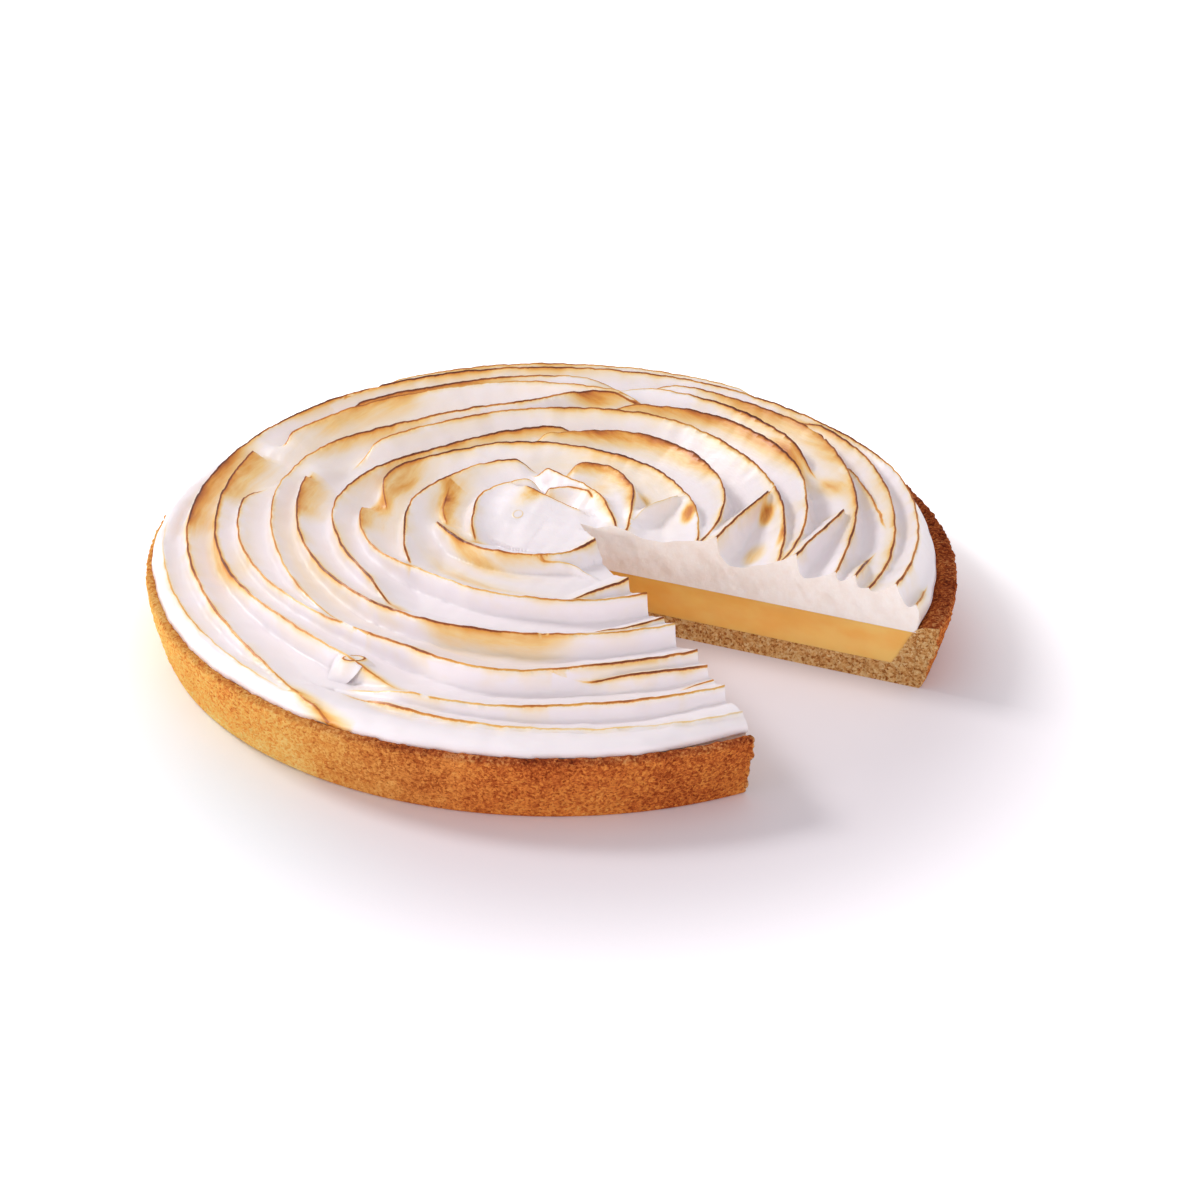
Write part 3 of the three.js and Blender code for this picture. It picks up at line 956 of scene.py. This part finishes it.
def resample(chain, count):
    """The same chain with this many evenly spaced points."""
    steps = np.linalg.norm(np.diff(chain, axis=0), axis=-1)
    places = np.concatenate([[0], np.cumsum(steps)])
    wanted = np.linspace(0, places[-1], count)
    return np.stack([np.interp(wanted, places, chain[:, k]) for k in range(3)], axis=-1)


# ---- lemon cream

LEMON_COLUMNS = 240
LEMON_ROWS = 12
LEMON_BOTTOM = BASE_THICKNESS + LAYER_STEP


def make_lemon():
    turns = column_turns(LEMON_COLUMNS)
    ones = np.ones_like(turns)
    thick = stand_back(turns)
    side = along_profile(
        [
            (135.3 - 4.2 * thick, LEMON_TOP * ones),
            (133.3 - 4.2 * thick, 16.6 * ones),
            (129.3 - 3.5 * thick, 10.2 * ones),
            (125.7 - 1.5 * thick, LEMON_BOTTOM * ones),
        ],
        LEMON_ROWS,
    )
    places = at_reach(turns[:, None], reach_of(turns[:, None], side[..., 0]))
    band = np.concatenate([places, side[..., 1:]], axis=-1)
    sheets = Sheets(["cut"])
    sheets.add_grid(band, (0, 0, -1))
    tops = []
    bottoms = []
    for column, cut_turn, facing in CUTS:
        wall = band[column][::-1]
        bottom = cut_line(cut_turn, np.linspace(0, reach_at(wall[0]), CUT_POINTS), LEMON_BOTTOM)
        lower = np.concatenate([bottom, wall[1:]])
        upper = cut_line(cut_turn, reach_at(lower), LEMON_TOP)
        add_cut(sheets, upper, lower, cut_normal(cut_turn, facing), 12, 0.12, 71 + column, 7.0)
        tops.append(upper)
        bottoms.append(bottom)
    add_flat(sheets, tops, band[1:-1, 0], LEMON_TOP, 1)
    add_flat(sheets, bottoms, band[1:-1, -1], LEMON_BOTTOM, -1)
    return sheets.make("lemon_cream")


# ---- materials


def linear(*colour):
    """Linear colour of an sRGB one given as red, green and blue from 0 to 255."""
    shares = [level / 255 for level in colour]
    return tuple(s / 12.92 if s <= 0.04045 else ((s + 0.055) / 1.055) ** 2.4 for s in shares) + (1.0,)


class Nodes:
    """Short names for the nodes of one material."""

    def __init__(self, name):
        self.material = bpy.data.materials.new(name)
        self.material.use_nodes = True
        self.tree = self.material.node_tree
        self.tree.nodes.clear()
        output = self.node("OutputMaterial")
        self.shader = self.node("BsdfPrincipled")
        self.link(self.shader.outputs["BSDF"], output.inputs["Surface"])
        self.place = self.node("TexCoord").outputs["Object"]

    def link(self, source, target):
        self.tree.links.new(source, target)

    def put(self, value, target):
        if isinstance(value, bpy.types.NodeSocket):
            self.link(value, target)
        else:
            target.default_value = value

    def node(self, kind, **inputs):
        """A new node with a value or a link put into each input that is named."""
        made = self.tree.nodes.new("ShaderNode" + kind)
        for name, value in inputs.items():
            self.put(value, made.inputs[name])
        return made

    def value(self, name):
        """A value that the mesh stores for each point."""
        node = self.node("Attribute")
        node.attribute_name = name
        return node.outputs["Fac"]

    def math(self, operation, *inputs, clamp=False):
        node = self.node("Math")
        node.operation = operation
        node.use_clamp = clamp
        for value, target in zip(inputs, node.inputs):
            self.put(value, target)
        return node.outputs[0]

    def times(self, first, second):
        return self.math("MULTIPLY", first, second)

    def plus(self, first, second):
        return self.math("ADD", first, second)

    def rest(self, share, clamp=False):
        """What is left of 1."""
        return self.math("SUBTRACT", 1.0, share, clamp=clamp)

    def fade(self, value, low, high, to_low=0.0, to_high=1.0):
        """Smooth change from to_low to to_high as the value goes from low to high."""
        node = self.node("MapRange")
        node.interpolation_type = "SMOOTHSTEP"
        for socket, amount in zip(node.inputs, [value, low, high, to_low, to_high]):
            self.put(amount, socket)
        return node.outputs[0]

    def join(self, x, y):
        return self.node("CombineXYZ", X=x, Y=y).outputs[0]

    def across(self):
        """Place from left to right, in metres."""
        return self.node("SeparateXYZ", Vector=self.place).outputs[0]

    def distance(self, middle):
        node = self.node("VectorMath")
        node.operation = "DISTANCE"
        self.link(self.place, node.inputs[0])
        node.inputs[1].default_value = middle
        return node.outputs["Value"]

    def noise(self, scale, detail=3.0, roughness=0.5, stretch=(1, 1, 1), place=None):
        mapping = self.node("Mapping", Scale=stretch, Vector=place or self.place)
        sizes = {"Scale": scale, "Detail": detail, "Roughness": roughness}
        return self.node("TexNoise", Vector=mapping.outputs[0], **sizes).outputs["Fac"]

    def grains(self, scale):
        """A shade from 0 to 1 for each of many small cells."""
        cells = self.node("TexVoronoi", Vector=self.place, Scale=scale)
        shade = self.node("SeparateColor")
        self.link(cells.outputs["Color"], shade.inputs[0])
        return shade.outputs[0]

    def blend(self, share, first, second):
        node = self.node("Mix")
        node.data_type = "RGBA"
        self.put(share, node.inputs[0])
        self.put(first, node.inputs[6])
        self.put(second, node.inputs[7])
        return node.outputs[2]

    def ramp(self, value, *stops):
        """Colours along a value. Each stop is a place with its red, green and blue."""
        node = self.node("ValToRGB")
        elements = node.color_ramp.elements
        while len(elements) < len(stops):
            elements.new(0.5)
        for element, (place, *colour) in zip(elements, stops):
            element.position = place
            element.color = linear(*colour)
        self.link(value, node.inputs[0])
        return node.outputs[0]

    def bump(self, height, distance, strength=1.0, before=None):
        node = self.node("Bump", Strength=strength, Distance=distance, Height=height)
        if before is not None:
            self.link(before, node.inputs["Normal"])
        return node.outputs[0]

    def finish(self, colour, roughness, normal=None, **sockets):
        """Fills in the shader and gives the material back."""
        self.put(colour, self.shader.inputs["Base Color"])
        self.put(roughness, self.shader.inputs["Roughness"])
        if normal is not None:
            self.link(normal, self.shader.inputs["Normal"])
        for name, value in sockets.items():
            self.shader.inputs[name.replace("_", " ")].default_value = value
        return self.material


def meringue_browning(n, streak):
    """How brown the meringue is: a thin line on each crest, two glows beside it, and toasts, among which
    is the painted shade of two pockets.
    """
    crest, burn, toast = (n.value(name) for name in ("crest", "burn", "toast"))
    patchy = n.noise(60, 3.0, 0.55)
    fine = n.noise(800, 3.0, 0.65)
    width = n.plus(n.times(burn, 0.26), n.times(fine, 0.36))
    line = n.rest(n.fade(n.math("DIVIDE", crest, width), 0.55, 1.35))
    line = n.times(line, n.times(burn, n.fade(patchy, 0.3, 0.6, 0.62, 0.95)))
    halo = n.rest(n.fade(crest, 0.1, 1.5))
    halo = n.times(halo, n.times(burn, n.fade(patchy, 0.35, 0.66, 0.1, 0.42)))
    glow = n.rest(n.fade(crest, 0.3, 5.0))
    glow = n.times(glow, n.times(burn, n.fade(patchy, 0.42, 0.62, 0.0, 0.16)))
    # broad browning, which includes the painted shade of two pockets
    broad = n.math("MINIMUM", n.times(toast, n.fade(streak, 0.3, 0.7, 0.72, 1.18)), 0.98)
    clear = n.rest(line)
    for brown in (halo, glow, broad):
        clear = n.times(clear, n.rest(brown))
    return n.rest(clear, clamp=True)


def meringue_material():
    n = Nodes("toasted_meringue")
    cut = n.value("cut")
    swirl = n.join(n.times(n.value("across"), 0.001), n.times(n.value("along"), 0.00012))
    streak = n.noise(420, 4.0, 0.6, place=swirl)
    surface = n.ramp(
        meringue_browning(n, streak),
        (0.0, 247, 239, 243),
        (0.12, 247, 232, 214),
        (0.3, 246, 209, 144),
        (0.48, 233, 168, 80),
        (0.64, 204, 122, 52),
        (0.82, 142, 72, 34),
        (1.0, 88, 42, 24),
    )
    cloudy = n.fade(n.noise(260, 3.0, 0.6), 0.35, 0.65)
    inside = n.blend(cloudy, linear(253, 242, 235), linear(255, 247, 242))
    pores = n.times(n.noise(700, 3.0, 0.6), n.fade(cut, 0, 1, 0.12, 1.0))
    normal = n.bump(pores, 0.0005, 0.5, before=n.bump(streak, 0.0005, 0.3))
    return n.finish(
        n.blend(cut, surface, inside),
        n.fade(cut, 0, 1, 0.36, 0.75),
        normal,
        Subsurface_Weight=0.1,
        Subsurface_Radius=(0.004, 0.003, 0.0022),
        Subsurface_Scale=1.0,
        Specular_IOR_Level=0.4,
    )


def crust_surface(n, mixed, rim):
    """Baked colours of the wall, redder on the rim and inside, with painted light making it lighter
    to the left and painted bounce light from the floor making it a little lighter towards the foot.
    """
    # painted bounce light from the floor: the outer wall a little lighter towards its foot
    low = n.fade(rim, 1.2, 2.0, 0.0, 0.04)
    grain_and_bounce = n.plus(mixed, low)
    wall = n.ramp(
        grain_and_bounce,
        (0.32, 104, 38, 14),
        (0.42, 172, 78, 33),
        (0.51, 214, 114, 54),
        (0.6, 246, 152, 70),
        (0.74, 255, 194, 106),
    )
    painted_lit_wall = n.ramp(
        grain_and_bounce,
        (0.32, 196, 98, 42),
        (0.42, 246, 148, 70),
        (0.51, 255, 190, 94),
        (0.6, 255, 212, 122),
        (0.74, 255, 232, 164),
    )
    redder = n.ramp(
        mixed,
        (0.34, 74, 26, 14),
        (0.45, 144, 60, 30),
        (0.54, 190, 98, 50),
        (0.68, 236, 172, 112),
    )
    # painted light from the left: the wall's colours shift to the lighter ramp towards the left
    left = n.fade(n.across(), -0.01, -0.11)
    at_rim = n.rest(n.fade(n.math("ABSOLUTE", n.math("SUBTRACT", rim, 1.0)), 0.03, 0.14))
    # the redder rim band is weaker on the left, as part of the painted light there
    at_rim = n.times(at_rim, n.fade(left, 0, 1, 0.9, 0.35))
    inner = n.times(n.rest(n.fade(rim, 0.8, 1.0)), 0.8)
    colour = n.blend(at_rim, n.blend(left, wall, painted_lit_wall), redder)
    return n.blend(inner, colour, redder)


def crust_material():
    n = Nodes("shortcrust")
    cut, rim = n.value("cut"), n.value("rim")
    broad = n.noise(30, 4.0, 0.65)
    grain = n.noise(900, 4.0, 0.85, stretch=(1, 1, 1.4))
    grits = n.grains(1300)
    mixed = n.plus(n.times(broad, 0.4), n.times(grain, 0.6))
    mixed = n.plus(mixed, n.times(n.math("SUBTRACT", grits, 0.5), 0.16))
    inside = n.ramp(
        n.plus(n.times(grain, 0.7), n.times(grits, 0.3)),
        (0.3, 158, 88, 40),
        (0.42, 212, 146, 82),
        (0.54, 238, 188, 122),
        (0.72, 252, 220, 166),
    )
    colour = n.blend(cut, crust_surface(n, mixed, rim), inside)
    normal = n.bump(grain, 0.0012, 0.8, before=n.bump(grits, 0.0006, 0.7))
    return n.finish(colour, 0.9, normal, Specular_IOR_Level=0.04)


def lemon_material():
    n = Nodes("lemon_cream")
    soft = n.noise(70, 3.0, 0.5, stretch=(1, 1, 2))
    colour = n.blend(n.fade(soft, 0.3, 0.7), linear(252, 184, 88), linear(254, 200, 108))
    normal = n.bump(n.noise(160, 3.0, 0.5), 0.0005, 0.35)
    return n.finish(
        colour,
        0.36,
        normal,
        Subsurface_Weight=0.3,
        Subsurface_Radius=(0.006, 0.004, 0.0015),
        Subsurface_Scale=1.0,
        Specular_IOR_Level=0.45,
    )


# ---- pieces


def dress(piece, node, material):
    piece.data.materials.append(material)
    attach(piece, "root")
    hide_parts(node)


make_camera()
dress(make_crust(), "crust", crust_material())
dress(make_lemon(), "lemon_filling", lemon_material())
dress(make_meringue(), "meringue", meringue_material())

# ---- floor and light


def make_floor():
    """A pale floor with painted shade round the pie that fades to white, first close round the pie and
    then further out, where the floor also glows a little as painted light.
    """
    mesh = bpy.data.meshes.new("floor")
    half = 3.0
    corners = [(-half, -half, 0), (half, -half, 0), (half, half, 0), (-half, half, 0)]
    mesh.from_pydata(corners, [], [(0, 1, 2, 3)])
    floor = new_object("floor", mesh)
    n = Nodes("pale_floor_painted_shade")
    # painted shadow of the pie: lilac in front of it, fading to white further out
    further = n.fade(n.distance((0.06, -0.2, 0)), 0.08, 0.36)
    floor_with_painted_shade = n.blend(further, linear(235, 230, 239), linear(252, 251, 252))
    around = n.distance((0.01, -0.05, 0))
    # painted shadow to the left of the pie: lilac there, paler to the right
    left = n.fade(n.across(), -0.02, -0.12)
    painted_shade_beside = n.blend(left, linear(238, 232, 238), linear(237, 243, 246))
    colour = n.blend(n.fade(around, 0.12, 0.2), painted_shade_beside, floor_with_painted_shade)
    mesh.materials.append(n.finish(colour, 0.6, Specular_IOR_Level=0.2))
    # painted light: the floor glows further from the pie, and not close round it
    n.link(n.fade(around, 0.11, 0.21, 0.0, 0.5), n.shader.inputs["Emission Strength"])
    n.shader.inputs["Emission Color"].default_value = (1, 1, 1, 1)


def area_light(name, place, size, power, colour):
    """A square light that looks at the pie."""
    data = bpy.data.lights.new(name, "AREA")
    data.size = size
    data.energy = power
    data.color = colour
    light = new_object(name, data)
    light.location = place
    light.rotation_euler = (-Vector(place)).to_track_quat("-Z", "Y").to_euler()


def make_light():
    world = bpy.data.worlds.new("studio")
    world.use_nodes = True
    background = world.node_tree.nodes["Background"]
    background.inputs["Color"].default_value = (0.995, 0.97, 0.99, 1.0)
    background.inputs["Strength"].default_value = 0.55
    bpy.context.scene.world = world
    area_light("key", place=(-1.0, 0.55, 1.0), size=0.4, power=10.5, colour=(1.0, 0.985, 0.97))
    area_light("side", place=(-1.3, -0.7, 0.15), size=0.4, power=6.3, colour=(1.0, 0.98, 0.96))
    area_light("front", place=(0.65, -1.45, 0.8), size=1.2, power=7.0, colour=(1.0, 0.965, 0.965))
    bpy.context.scene.view_settings.view_transform = "Standard"


make_floor()
make_light()
